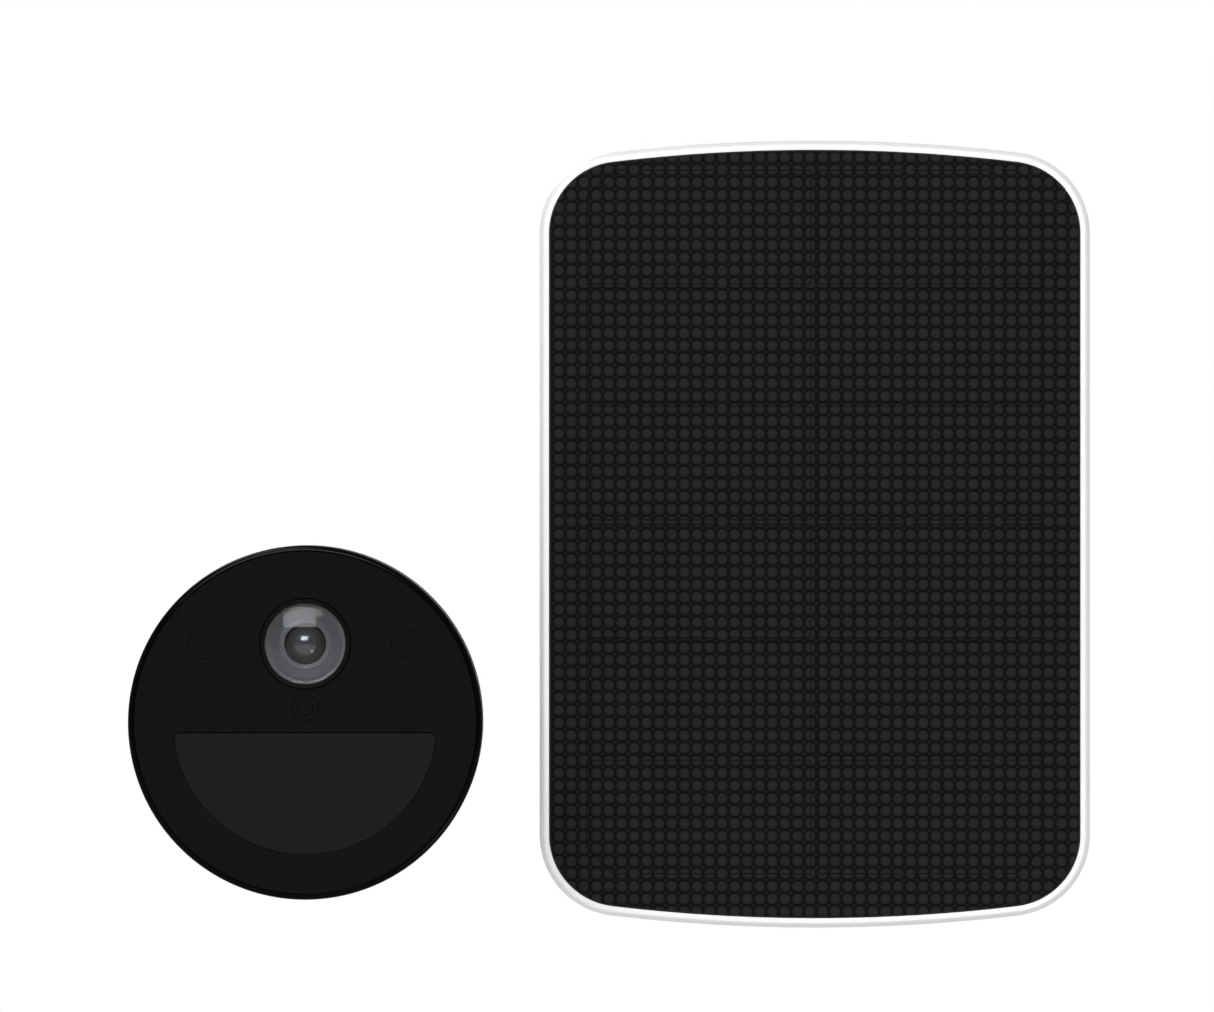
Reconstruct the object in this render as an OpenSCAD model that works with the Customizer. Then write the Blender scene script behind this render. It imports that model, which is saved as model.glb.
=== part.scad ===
// Solar-powered security camera: a round battery camera on a ball mount,
// and a solar panel on a swivel and tilt mount, both screwed to one wall.
// X points right, Z points up, and -Y points from the wall towards the viewer.
// The origin is the centre of the camera wall plate's back face.
// Each unit is drawn with x right, y up and z out of the wall, then stood up.

/* [Camera] */
// Diameter of the camera body
cam_d = 80; // [80:1:84]
// Length of the camera body
cam_len = 86; // [86:1:90]
// Distance from the wall to the camera's rear face
cam_back = 82; // [82:1:90]
// Wall thickness of the housing tube
cam_wall = 2; // [1.6:0.1:2]
// Height of the lens above the camera's axis
lens_y = 17.8; // [17:0.1:19]
// Radius of the lens glass
lens_r = 9.1; // [8.8:0.1:9.3]
// Sideways distance of each infrared window
ir_x = 22.9; // [20:0.1:25]
// Height of the microphone above the camera's axis
mic_y = 33.05; // [31:0.05:33.5]
// Height of the light sensor above the camera's axis
light_y = 3.4; // [3:0.1:5]
// Radius of the motion-sensor window's arc
pir_r = 29.86; // [26:0.01:31]
// Depth of the motion-sensor window's flat top below the camera's axis
pir_top = 2.05; // [1:0.05:4]

/* [Camera mount] */
// Distance from the wall to the ball's centre
ball_z = 58; // [58:1:60]
// Radius of the ball
ball_r = 9.5; // [9:0.1:9.5]
// Radius of the camera wall plate
plate_r = 31; // [30:1:34]
// Radius of the circle that the camera plate's screw holes lie on
plate_hole_ring = 23; // [22:0.5:24]
// Radius of the wall screw holes
wall_hole_r = 2.2; // [1.8:0.1:2.5]

/* [Battery] */
// Radius of one battery cell
cell_r = 9.1; // [8.8:0.1:9.1]
// Length of one battery cell
cell_len = 65; // [60:1:65]

/* [Panel] */
// Sideways distance from the camera's axis to the panel's centre
panel_x = 115.5; // [115:0.5:130]
// Height of the panel's centre above the camera's axis
panel_z = 42.5; // [40:0.5:60]
// Width of the panel
panel_w = 125.4; // [124:0.2:130]
// Height of the panel at the middle
panel_h = 179.4; // [178:0.2:184]
// Corner radius of the panel's outline
panel_corner = 18.5; // [16:0.5:20]
// Radius of the panel's bowed top and bottom edges
panel_crown = 392; // [350:1:500]
// Width of the visible frame around the dark sheet
rim_w = 2.14; // [1.8:0.02:2.4]
// Distance from the wall to the panel's back
panel_back = 64; // [64:1:66]
// Thickness of the panel
panel_t = 14; // [14:0.5:16]
// Number of cells up the panel
cell_rows = 6; // [4:1:6]
// Width of one solar cell
cell_w = 51; // [40:1:51]
// Height of one solar cell
cell_h = 25.9; // [20:0.1:25.9]

/* [Panel mount] */
// Distance from the wall to the tilt pivot
pivot_z = 50; // [50:0.5:51]
// Radius of the panel wall plate
panel_plate_r = 28; // [27:1:32]

/* [Hidden] */
$fn = 64;

eps = 0.01;
black = [0.09, 0.09, 0.095];
soft_black = [0.13, 0.13, 0.135];
board_green = [0.05, 0.22, 0.14];
steel = [0.62, 0.63, 0.65];
brass = [0.78, 0.62, 0.32];
white = [0.95, 0.95, 0.94];

// camera body
cam_r = cam_d / 2;
bore_r = cam_r - cam_wall;
cover_t = 6;              // rear cover thickness
bezel_back = cam_len - 10;
bezel_bore = cam_r - 1.2;
face_back = cam_len - 2.4;
face_front = cam_len - 0.4;
post_ring = bore_r - 3.5;
post_r = 3.8;
post_angles = [40, 140, 205, 335];
post_front = bezel_back - 2.6;
pilot_r = 1.1;
lens_hole_r = lens_r + 1.3;
stud_r = 3.075;           // quarter-inch thread, clearing its insert
insert_bore = 3.175;
insert_r = 5;
insert_len = 9;
board_y = 3;              // underside of the main board
board_t = 1.6;
port_x = -26;
port_y = board_y + board_t + 1.7;
button_x = 26;
speaker_y = 21;
speaker_r = 12.5;

// battery, measured about the camera's axis, centred straight down
cells_ring = 26.5;
cells_angle = 20.7;
case_top = 14.6;          // depth of the case's flat top below the axis
case_out = 36.6;
case_half = 43;
case_wall = 0.8;
bay_gap = 0.4;
cap_t = 4;
case_end = cap_t + cell_len + 1.4;
bay_end = case_end + 2.8;

// panel
frame_back = 2;           // thickness of the back cover's floor
sheet_t = 1;
sheet_front = panel_t - 0.6;
sheet_back = sheet_front - sheet_t;
screw_rows = [-58, 0, 58];
cell_t = 0.5;
cell_pitch = 26.9;
cells_up = 2.75;          // the array sits a little above the panel's middle
cell_gap = 1.9;
cell_cut = 5.9;           // cut across the array's outer corners
ribbon_in = 21;
ribbon_out = 41.2;
ear_in = 8;
ear_out = 12.5;
pin_r = 2.5;
panel_hole_ring = 21;
outlet_y = -62;           // cable outlet, below the panel's middle

// points along an arc
function arc(cx, cy, r, from, to, steps) =
    [for (i = [0:steps]) let (a = from + (to - from) * i / steps) [cx + r * cos(a), cy + r * sin(a)]];

// mirror images of a list of points, kept in order round the outline
function flip_x(pts) = [for (i = [len(pts) - 1:-1:0]) [-pts[i][0], pts[i][1]]];
function flip_y(pts) = [for (i = [len(pts) - 1:-1:0]) [pts[i][0], -pts[i][1]]];

// half width w, half height h, corner radius r and crown radius big, all tangent
function corner_y(w, h, r, big) = sqrt(pow(big - r, 2) - pow(w - r, 2)) + h - big;
function top_right(w, h, r, big) =
    let (cy = corner_y(w, h, r, big), turn = atan2(cy - h + big, w - r))
    concat(arc(w - r, cy, r, 0, turn, 9), arc(0, h - big, big, turn, 90, 6));
function crowned(w, h, r, big) =
    let (q = top_right(w, h, r, big), top = concat(q, flip_x(q)))
    concat(top, flip_y(top));
function panel_outline(inset) =
    crowned(panel_w / 2 - inset, panel_h / 2 - inset, panel_corner - inset, panel_crown - inset);

// part of a ring about the camera's axis, centred straight down
function sector(r_in, r_out, half) =
    concat(arc(0, 0, r_out, -90 - half, -90 + half, 20), arc(0, 0, r_in, -90 + half, -90 - half, 14));

// battery section: an arc below, straight sides and a flat top
function battery_section(top, r_out, half) =
    concat(arc(0, 0, r_out, -90 - half, -90 + half, 20), [[top * tan(half), -top], [-top * tan(half), -top]]);

// flat-topped bowl with rounded top corners: the motion-sensor window
function bowl(r, top, round) =
    let (cx = sqrt(pow(r - round, 2) - pow(top + round, 2)), low = atan2(-top - round, cx))
    concat(
        arc(0, 0, r, -180 - low, low, 32),
        arc(cx, -top - round, round, low, 90, 6),
        arc(-cx, -top - round, round, 90, 180 - low, 6)
    );

module on_wall(x, z) { translate([x, 0, z]) rotate([90, 0, 0]) children(); }
module camera_side() { on_wall(0, 0) children(); }
module in_camera() { on_wall(0, 0) translate([0, 0, cam_back]) children(); }
module at_ball() { on_wall(0, 0) translate([0, 0, ball_z]) children(); }
module panel_side() { on_wall(panel_x, panel_z) children(); }
module in_panel() { panel_side() translate([0, 0, panel_back]) children(); }

module plate(points, from, to) { translate([0, 0, from]) linear_extrude(to - from) polygon(points); }
module disc(r, from, to) { translate([0, 0, from]) cylinder(r = r, h = to - from); }
module ring(r_out, r_in, from, to) {
    difference() {
        disc(r_out, from, to);
        disc(r_in, from - 1, to + 1);
    }
}
module box(x, y, from, to, at = [0, 0]) {
    translate([at[0] - x / 2, at[1] - y / 2, from]) cube([x, y, to - from]);
}
module round_the_ring(radius, angles) {
    for (a = angles) rotate([0, 0, a]) translate([radius, 0, 0]) children();
}
// round bar along x
module bar(r, from, to) { translate([from, 0, 0]) rotate([0, 90, 0]) cylinder(r = r, h = to - from); }
// screw along z, its head at the lower end
module screw(head_r, head_t, shank_r, len) {
    difference() {
        disc(head_r, 0, head_t);
        translate([0, 0, -1]) cylinder(r = head_r * 0.45, h = 1 + head_t * 0.6, $fn = 6);
    }
    disc(shank_r, head_t - eps, len);
}
// knurled grip: a disc with flutes
module knurled(r, from, to, flutes) {
    difference() {
        disc(r, from, to);
        for (i = [0:flutes - 1]) rotate([0, 0, i * 360 / flutes]) translate([r + 0.5, 0, from - 1])
            cylinder(r = 1.1, h = to - from + 2, $fn = 24);
    }
}

// ---------- camera mount ----------

module camera_wall_plate() {
    color(black) camera_side() difference() {
        rotate_extrude() polygon(concat(
            [[0, 0], [plate_r, 0]], arc(plate_r - 2.5, 2.5, 2.5, 0, 90, 5), [[0, 5]]
        ));
        round_the_ring(plate_hole_ring, [90, 210, 330]) {
            disc(wall_hole_r, -1, 6);
            translate([0, 0, 3]) cylinder(r1 = wall_hole_r, r2 = wall_hole_r + 2.1, h = 2 + eps);
        }
        disc(2.6, -1, 6);
        disc(5.2, -1, 3.2);
    }
}

module camera_stem() {
    color(black) camera_side() difference() {
        rotate_extrude() polygon([
            [0, 5], [17, 5], [14, 6.5], [12.2, 9], [11, 13], [10.5, 18], [10.5, ball_z - 11],
            [10, ball_z - 10.4], [0, ball_z - 10.4]
        ]);
        disc(6.05, ball_z - 24, ball_z);
        disc(2.2, 4, 22);
        translate([0, 0, ball_z - 17]) bar(2.1, 0, 20);
    }
}

module stem_screw() { color(steel) camera_side() translate([0, 0, 0.4]) screw(5, 2.8, 2.15, 20); }

module swivel_set_screw() {
    color(steel) camera_side() translate([0, 0, ball_z - 17]) difference() {
        bar(2, 6.4, 12.6);
        translate([11.2, 0, 0]) rotate([0, 90, 0]) cylinder(r = 1.1, h = 3, $fn = 6);
    }
}

// cup that holds the ball, slotted on its underside so that the neck can drop to a right angle
module camera_socket() {
    slot_w = 8.8;
    color(black) at_ball() {
        difference() {
            rotate_extrude() polygon([[0, -10], [10, -10], [12.9, -7], [12.9, 3.2], [11.6, 4.5], [0, 4.5]]);
            sphere(r = ball_r + 0.15);
            rotate([90, 0, 0]) disc(slot_w / 2, 0, 20);
            translate([-slot_w / 2, -20, 0]) cube([slot_w, 20, 10]);
        }
        disc(6, -23.5, -10 + eps);
    }
}

module ball_stud() {
    color(steel) at_ball() {
        sphere(r = ball_r);
        disc(4, ball_r - 1.5, 17);
        disc(6, 16, 17.6);
        disc(stud_r, 17.5, cam_back - ball_z + insert_len - 1);
    }
}

module camera_lock_nut() {
    color(black) at_ball() difference() {
        knurled(12, 18.2, 23.6, 30);
        disc(insert_bore, 17, 25);
    }
}

// ---------- camera body ----------

module housing() {
    color(black) in_camera() difference() {
        union() {
            ring(cam_r, bore_r, cover_t, bezel_back);
            intersection() {
                disc(bore_r + 0.4, 0, cam_len);
                union() {
                    round_the_ring(post_ring, post_angles) {
                        disc(post_r, cover_t + 3.2, cover_t + 18);
                        disc(post_r, post_front - 14, post_front);
                    }
                    for (side = [-1, 1]) box(5, 1.8, 14, 68, [side * (bore_r - 2.1), board_y - 1.2]);
                }
            }
        }
        round_the_ring(post_ring, post_angles) {
            disc(pilot_r, 0, cover_t + 15);
            disc(pilot_r, post_front - 10, post_front + 5);
        }
    }
}

module grille_holes() {
    disc(0.8, -1, cover_t + 1);
    for (row = [1:3], i = [0:6 * row - 1]) rotate([0, 0, i * 60 / row]) translate([2.8 * row, 0, 0])
        disc(0.8, -1, cover_t + 1);
}

module rear_cover() {
    lip_in = bore_r - 2.1;
    color(black) in_camera() difference() {
        union() {
            rotate_extrude() polygon(concat(
                [[0, 0]], arc(cam_r - 4, 4, 4, -90, 0, 6), [[cam_r, cover_t], [0, cover_t]]
            ));
            difference() {
                ring(bore_r - 0.3, lip_in, cover_t - eps, cover_t + 3);
                plate(sector(13, cam_r, case_half + 5), 0, cover_t + 5);
            }
            disc(8, cover_t - eps, insert_len + 3);
        }
        disc(insert_r, -1, insert_len + 0.2);
        plate(battery_section(case_top - bay_gap, case_out + bay_gap, case_half + 1), -1, cover_t + 1);
        translate([0, speaker_y, 0]) grille_holes();
        round_the_ring(post_ring, post_angles) {
            disc(1.5, -1, 10);
            disc(3.1, -1, 3);
        }
        translate([button_x, port_y, 0]) {
            disc(3.3, -1, cover_t + 1);
            disc(4.8, 2.5, cover_t + 1);
        }
        box(16.4, 9.4, -1, 1.8, [port_x, port_y]);
        box(9.6, 3.8, -1, cover_t + 1, [port_x, port_y]);
        box(6.2, 2.6, 0.6, 2.8, [0, 1.5 - case_top]);
    }
}

// long screws through the rear cover and short ones through the front board
module housing_screws() {
    color(steel) in_camera() round_the_ring(post_ring, post_angles) {
        translate([0, 0, 0.9]) screw(2.9, 2.1, pilot_r, 16);
        translate([0, 0, post_front + board_t + 1.4]) rotate([180, 0, 0]) screw(2.1, 1.4, pilot_r, 10);
    }
}

module threaded_insert() { color(brass) in_camera() ring(insert_r, insert_bore, 0.2, insert_len); }

module battery_bay() {
    color(soft_black) in_camera() difference() {
        plate(battery_section(case_top - 1.2, case_out + 1.2, case_half + 3), cover_t, bay_end);
        plate(battery_section(case_top - bay_gap, case_out + bay_gap, case_half + 1), 0, bay_end - 1);
        box(16.2, 6.2, bay_end - 2, bay_end + 1, [0, -cells_ring]);
    }
}

module battery_contacts() {
    color(soft_black) in_camera() box(16, 6, bay_end - 1.6, bay_end + 0.1, [0, -cells_ring]);
    color(brass) in_camera() for (i = [-1:1])
        translate([5 * i, -cells_ring, 0]) disc(1, case_end + 0.4, bay_end - 1.6);
}

// front ring: rounded glossy rim, a seat for the face plate, and a spigot inside the housing
module front_bezel() {
    color(black) in_camera() rotate_extrude() polygon(concat(
        [[bore_r - 1.7, face_back - 2.6], [bezel_bore - 1.4, bezel_back + 0.5], [bore_r - 1, bezel_back],
         [bore_r - 1, bezel_back - 2.4], [bore_r - 0.2, bezel_back - 2.4], [bore_r - 0.2, bezel_back],
         [cam_r, bezel_back]],
        arc(cam_r - 1, cam_len - 1, 1, 0, 90, 5),
        [[bezel_bore, cam_len - 0.2], [bezel_bore, face_back - 0.4], [bore_r - 1.7, face_back - 0.4]]
    ));
}

module face_gasket() {
    color(soft_black) in_camera() ring(bezel_bore - 0.3, bore_r - 1.5, face_back - 0.4, face_back);
}

module face_plate() {
    color(black) in_camera() difference() {
        disc(bezel_bore - 0.15, face_back, face_front);
        translate([0, lens_y, 0]) disc(lens_hole_r, face_back - 1, cam_len);
        for (side = [-1, 1]) translate([side * ir_x, lens_y, 0]) disc(3.5, face_back - 1, cam_len);
        translate([0, light_y, 0]) disc(3.05, face_back - 1, cam_len);
        translate([0, mic_y, 0]) disc(0.6, face_back - 1, cam_len);
        plate(bowl(pir_r, pir_top, 1.8), face_back - 1, cam_len);
    }
}

module lens_trim() {
    color(black) in_camera() translate([0, lens_y, 0]) difference() {
        ring(lens_hole_r - 0.1, lens_r + 0.05, face_back - 0.8, face_front + 0.2);
        disc(lens_r + 0.6, face_back - 2, face_back);
    }
}

module lens_cover() {
    color([0.3, 0.31, 0.33]) in_camera() translate([0, lens_y, 0]) disc(lens_r, face_back + 0.4, face_front);
}

module lens_barrel() {
    color(black) in_camera() translate([0, lens_y, 0]) rotate_extrude() polygon([
        [5, 66], [8.7, 66], [8.7, face_back - 0.9], [8, face_back - 0.9], [5.4, face_back - 5],
        [5.4, 72], [5, 72]
    ]);
}

module lens_elements() {
    color([0.35, 0.38, 0.42]) in_camera() translate([0, lens_y, 0]) {
        disc(5.3, face_back - 8, face_back - 5.2);
        disc(4.9, 68, 70.5);
    }
}

module lens_holder() {
    color(soft_black) in_camera() translate([0, lens_y, 0]) difference() {
        union() {
            box(22, 22, 62.8, 72);
            for (x = [-1, 1], y = [-1, 1]) translate([9.2 * x, 9.2 * y, 0]) disc(1.6, 71, post_front);
        }
        box(12, 12, 60, 65.6);
        disc(5, 60, 68);
        disc(8.75, 65.9, 80);
        box(21, 9, 64.9, 65.9);
    }
}

module sensor_board() {
    color(board_green) in_camera() translate([0, lens_y, 0]) box(24, 22, 61.6, 62.8);
    color(steel) in_camera() translate([0, lens_y, 0]) box(10, 8, 62.8, 64);
}

module ir_cut_filter() {
    color([0.3, 0.45, 0.5]) in_camera() translate([-2.6, lens_y, 0]) box(14, 8, 65.1, 65.6);
}

module front_board() {
    color(board_green) in_camera() difference() {
        disc(bore_r - 1.3, post_front, post_front + board_t);
        translate([0, lens_y, 0]) disc(9.4, 0, cam_len);
        round_the_ring(post_ring, post_angles) disc(1.3, 0, cam_len);
        box(8, 3, 0, cam_len, [18, 6]);
    }
    color(soft_black) in_camera() {
        box(3.8, 3, post_front + board_t, post_front + board_t + 1.2, [0, mic_y]);
        box(4, 4, post_front + board_t, post_front + board_t + 1.2, [0, light_y]);
    }
}

module ir_windows() {
    color(black) in_camera() for (side = [-1, 1])
        translate([side * ir_x, lens_y, 0]) disc(3.4, face_back, face_front);
}

module ir_leds() {
    color([0.25, 0.2, 0.3]) in_camera() for (side = [-1, 1]) translate([side * ir_x, lens_y, 0]) {
        box(5, 5, post_front + board_t, post_front + board_t + 1.5);
        intersection() {
            translate([0, 0, post_front + board_t + 1]) sphere(r = 2.4);
            disc(3, post_front + board_t + 1.4, cam_len);
        }
    }
}

module light_pipe() {
    color(black) in_camera() translate([0, light_y, 0]) {
        ring(2.95, 1.8, face_back - 1, face_front);
        disc(1.8, post_front + board_t + 1.4, face_front);
    }
}

module pir_lens() {
    color(soft_black) in_camera()
        plate(bowl(pir_r - 0.12, pir_top + 0.12, 1.7), face_back - 0.2, face_front + 0.1);
}

module pir_sensor() {
    color(steel) in_camera() translate([0, -13, 0]) {
        disc(4.6, post_front + board_t, post_front + board_t + 0.5);
        disc(4.1, post_front + board_t + 0.4, post_front + board_t + 4);
    }
}

module mic_boot() {
    color(soft_black) in_camera() translate([0, mic_y, 0])
        ring(1.9, 0.6, post_front + board_t + 1.2, face_back);
}

module main_board() {
    top = board_y + board_t;
    color(board_green) in_camera() difference() {
        translate([-36, board_y, 9.5]) cube([72, board_t, 60.5]);
        translate([-8.6, board_y - 1, 8]) cube([17.2, 5, 4.6]);
        for (side = [-1, 1]) translate([side * 30 - 8, board_y - 1, 9]) cube([16, 5, 4]);
    }
    color(soft_black) in_camera() {
        translate([-6, top, 34]) cube([12, 1.4, 12]);
        translate([-30, top, 36]) cube([14, 2, 16]);
        translate([14, top, 62]) cube([8, 1.2, 4]);
        translate([20, top, 24]) cube([6, 4.5, 6]);
    }
    color(steel) in_camera() translate([button_x - 3, top - 1.2, cover_t + 2]) cube([6, 6, 4.9]);
}

module heat_spreader() {
    color([0.75, 0.76, 0.78]) in_camera() translate([-14, board_y + board_t + 1.4, 24]) cube([28, 1.2, 32]);
}

module wifi_antenna() {
    color(board_green) in_camera() rotate([0, 0, 180]) plate(sector(bore_r - 1, bore_r - 0.3, 20), 30, 54);
}

module ribbon_cable() {
    color([0.55, 0.4, 0.2]) in_camera() translate([21, board_y + board_t + 1.2, 0]) rotate([0, -90, 0])
        linear_extrude(6) polygon([
            [62.5, 0], [71.5, 0], [71.5, 2.2], [post_front, 2.2], [post_front, 2.6], [71.1, 2.6],
            [71.1, 0.4], [62.5, 0.4]
        ]);
}

module speaker() {
    color(soft_black) in_camera() translate([0, speaker_y, cover_t]) {
        ring(speaker_r, speaker_r - 2, 0.4, 3);
        disc(speaker_r, 3 - eps, 6);
        disc(7, 6 - eps, 11);
        difference() {
            disc(speaker_r - 2 + eps, 1.6, 2.2);
            disc(3, 1, 2.4);
        }
        disc(3 + eps, 1.7, 2.6);
    }
}

module speaker_mesh() {
    color([0.25, 0.25, 0.26]) in_camera() translate([0, speaker_y, 0])
        disc(speaker_r, cover_t, cover_t + 0.4);
}

module charge_port() {
    color(steel) in_camera() difference() {
        box(9.2, 3.4, 2.2, 12.8, [port_x, port_y]);
        box(8.6, 2.8, 1, 8.5, [port_x, port_y]);
    }
    color(soft_black) in_camera() box(6.6, 0.8, 3.4, 8.6, [port_x, port_y]);
}

// rubber flap hinged along its top edge
module port_cover() {
    color(soft_black) in_camera() translate([port_x, port_y, 0]) {
        box(15.4, 7.6, 0.1, 1.5, [0, -0.4]);
        translate([0, 3.5, 0.8]) bar(0.7, -7.7, 7.7);
        box(4, 0.8, -0.5, 0.2, [0, -3.4]);
    }
}

module sync_button() {
    color(soft_black) in_camera() translate([button_x, port_y, 0]) {
        disc(3, -0.5, 3);
        disc(4.4, 2.9, 3.9);
        disc(1.5, 3.8, 6.6);
    }
}

// ---------- battery cartridge ----------

module battery_case() {
    color(soft_black) in_camera() difference() {
        plate(battery_section(case_top, case_out, case_half), cap_t, case_end);
        plate(
            battery_section(case_top + case_wall, case_out - case_wall, case_half - 1.7),
            cap_t - 1, case_end - case_wall
        );
    }
    color(brass) in_camera() for (i = [-1:1]) box(3, 3, case_end - eps, case_end + 0.3, [5 * i, -cells_ring]);
}

module battery_cells() {
    color([0.16, 0.35, 0.55]) in_camera() for (side = [-1, 1])
        rotate([0, 0, -90 + side * cells_angle]) translate([cells_ring, 0, 0]) {
            disc(cell_r, cap_t + 0.3, cap_t + 0.3 + cell_len - 1);
            disc(3, cap_t + cell_len - 1, cap_t + 0.3 + cell_len);
        }
}

module battery_cap() {
    color(black) in_camera() difference() {
        plate(battery_section(case_top, case_out, case_half), 0, cap_t);
        box(9, 10, -1, 2.6, [0, -21]);
        box(5.8, 4, 0.7, 2.6, [0, -case_top - 1]);
        for (i = [-3:3]) box(1.2, 5, -1, 0.8, [2.4 * i, -31]);
    }
}

module battery_lock() {
    color(soft_black) in_camera() {
        difference() {
            box(8, 5, 0.3, 2.3, [0, -22.8]);
            for (i = [-1:1]) box(6, 0.6, 0, 0.7, [0, -22.8 + 1.4 * i]);
        }
        box(5, 6.1, 1, 2.2, [0, -case_top - 3.35]);
    }
}

// ---------- panel mount ----------

module panel_wall_plate() {
    color(white) panel_side() difference() {
        rotate_extrude() polygon(concat(
            [[0, 0], [panel_plate_r, 0]], arc(panel_plate_r - 3, 3, 3, 0, 90, 5),
            [[14, 6], [12, 8], [11, 11], [11, 16], [0, 16]]
        ));
        round_the_ring(panel_hole_ring, [45, 135, 225, 315]) {
            disc(wall_hole_r, -1, 8);
            translate([0, 0, 4]) cylinder(r1 = wall_hole_r, r2 = wall_hole_r + 2.1, h = 2 + eps);
        }
        disc(2.45, -1, 17);
    }
}

module yoke_screw() {
    color(steel) panel_side() translate([0, 0, 27.5]) rotate([180, 0, 0]) screw(5, 3.4, 2.4, 24);
}

// base that turns on the wall plate, with two ears that hold the tilt pivot
module panel_yoke() {
    color(white) panel_side() difference() {
        union() {
            disc(14, 16.3, 23.6);
            for (from = [-ear_out, ear_in]) {
                translate([from, -7.5, 20]) cube([ear_out - ear_in, 15, pivot_z - 20]);
                translate([0, 0, pivot_z]) bar(7.5, from, from + ear_out - ear_in);
            }
        }
        disc(2.6, 10, 30);
        translate([0, 0, pivot_z]) bar(pin_r + 0.15, -20, 20);
    }
}

module tilt_nut() {
    color(steel) panel_side() translate([0, 0, pivot_z]) difference() {
        translate([-ear_out - 4, 0, 0]) rotate([0, 90, 0]) cylinder(r = 5, h = 4, $fn = 6);
        bar(pin_r + 0.15, -20, 0);
    }
}

module tilt_screw() {
    color(white) panel_side() translate([0, 0, pivot_z]) rotate([0, 90, 0]) {
        disc(pin_r, -ear_out - 5, ear_out + 1);
        knurled(8, ear_out + 0.4, ear_out + 8, 18);
    }
}

module panel_arm() {
    color(steel) panel_side() difference() {
        union() {
            translate([0, 0, pivot_z]) bar(7, -7, 7);
            disc(4, pivot_z, panel_back - 5);
            disc(6, pivot_z + 6, pivot_z + 8);
            disc(stud_r, panel_back - 5 - eps, panel_back + insert_len - 1);
        }
        translate([0, 0, pivot_z]) bar(pin_r + 0.15, -20, 20);
    }
}

module tilt_washers() {
    color(soft_black) panel_side() translate([0, 0, pivot_z]) for (from = [-7.7, 7]) difference() {
        bar(6.5, from, from + 0.7);
        bar(pin_r + 0.15, from - 1, from + 2);
    }
}

module panel_lock_nut() {
    color(white) panel_side() difference() {
        knurled(10, panel_back - 4.9, panel_back - 0.4, 24);
        disc(insert_bore, 50, panel_back);
    }
}

// ---------- solar panel ----------

module at_panel_screws() { for (x = [-54, 54], y = screw_rows) translate([x, y, 0]) children(); }

module panel_back_cover() {
    color(white) in_panel() difference() {
        union() {
            plate(panel_outline(1.6), 0, 0.7);
            plate(panel_outline(0.6), 0.7 - eps, 1.3);
            plate(panel_outline(0), 1.3 - eps, frame_back);
            disc(9, frame_back - eps, insert_len + 0.8);
            for (x = [-30, 30]) box(1.6, 140, frame_back - eps, 8, [x, 0]);
            for (y = [-40, 40]) box(96, 1.6, frame_back - eps, 8, [0, y]);
        }
        disc(insert_r, -1, insert_len);
        translate([0, outlet_y, 0]) disc(4.5, -1, 3);
        at_panel_screws() {
            disc(1.5, -1, frame_back + 1);
            disc(2.9, -1, 1.2);
        }
    }
}

module panel_insert() { color(brass) in_panel() ring(insert_r, insert_bore, 0.2, insert_len); }

module panel_screws() {
    color(steel) in_panel() at_panel_screws() translate([0, 0, 0.1]) screw(2.7, 1.1, pilot_r, 8);
}

// collar that the cable leaves through, clipped into the back cover
module cable_gland() {
    color(white) in_panel() translate([0, outlet_y, 0]) difference() {
        rotate_extrude() polygon([
            [2, -2.5], [5.2, -2.5], [6.2, -1.2], [6.2, 0], [4.4, 0], [4.4, frame_back], [5.4, frame_back],
            [4.4, 4.5], [2, 4.5]
        ]);
        disc(2, -3, 5);
    }
}

// white surround: the side walls, the narrow rim in front and the screw bosses
module panel_frame() {
    color(white) in_panel() difference() {
        union() {
            plate(panel_outline(0), frame_back, panel_t - 1.6);
            plate(panel_outline(0.35), panel_t - 1.6 - eps, panel_t - 0.7);
            plate(panel_outline(1), panel_t - 0.7 - eps, panel_t);
        }
        difference() {
            plate(panel_outline(rim_w), frame_back - 1, panel_t + 1);
            for (side = [-1, 1], y = screw_rows)
                box(12, 8, frame_back - 1, sheet_back - 3, [side * 56, y]);
        }
        at_panel_screws() disc(pilot_r, 0, 9);
    }
}

module junction_board() {
    color(board_green) in_panel() box(20, 14, 3.5, 5.1, [18, -60]);
    color(soft_black) in_panel() box(6, 3, 5.1, 7.4, [16, -60]);
}

// row of cells with the array's outer corners cut off
module cell_array(from, to) {
    half_w = cell_gap / 2 + cell_w;
    half_h = (cell_pitch * (cell_rows - 1) + cell_h) / 2;
    cell_x = (cell_gap + cell_w) / 2;
    intersection() {
        for (x = [-cell_x, cell_x], row = [0:cell_rows - 1])
            box(cell_w, cell_h, from, to, [x, cells_up + cell_pitch * (row - (cell_rows - 1) / 2)]);
        translate([0, cells_up, 0]) plate([
            [half_w, half_h - cell_cut], [half_w - cell_cut, half_h], [cell_cut - half_w, half_h],
            [-half_w, half_h - cell_cut], [-half_w, cell_cut - half_h], [cell_cut - half_w, -half_h],
            [half_w - cell_cut, -half_h], [half_w, cell_cut - half_h]
        ], from - 1, to + 1);
    }
}

module solar_cells() {
    color([0.05, 0.05, 0.07]) in_panel() cell_array(sheet_back - 0.2 - cell_t, sheet_back - 0.2);
}

module cell_ribbons() {
    len = cell_pitch * (cell_rows - 1) + cell_h - 6;
    color(steel) in_panel() for (x = [-ribbon_out, -ribbon_in, ribbon_in, ribbon_out])
        box(1.5, len, sheet_back - 0.2, sheet_back, [x, cells_up]);
}

// laminate that closes the panel: a backing board and the clear textured sheet over the cells
module front_sheet() {
    color(soft_black) in_panel() {
        plate(panel_outline(rim_w + 0.1), sheet_back, sheet_front);
        difference() {
            plate(panel_outline(rim_w + 0.1), sheet_back - 1.5, sheet_back + eps);
            cell_bay();
        }
    }
}

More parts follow.
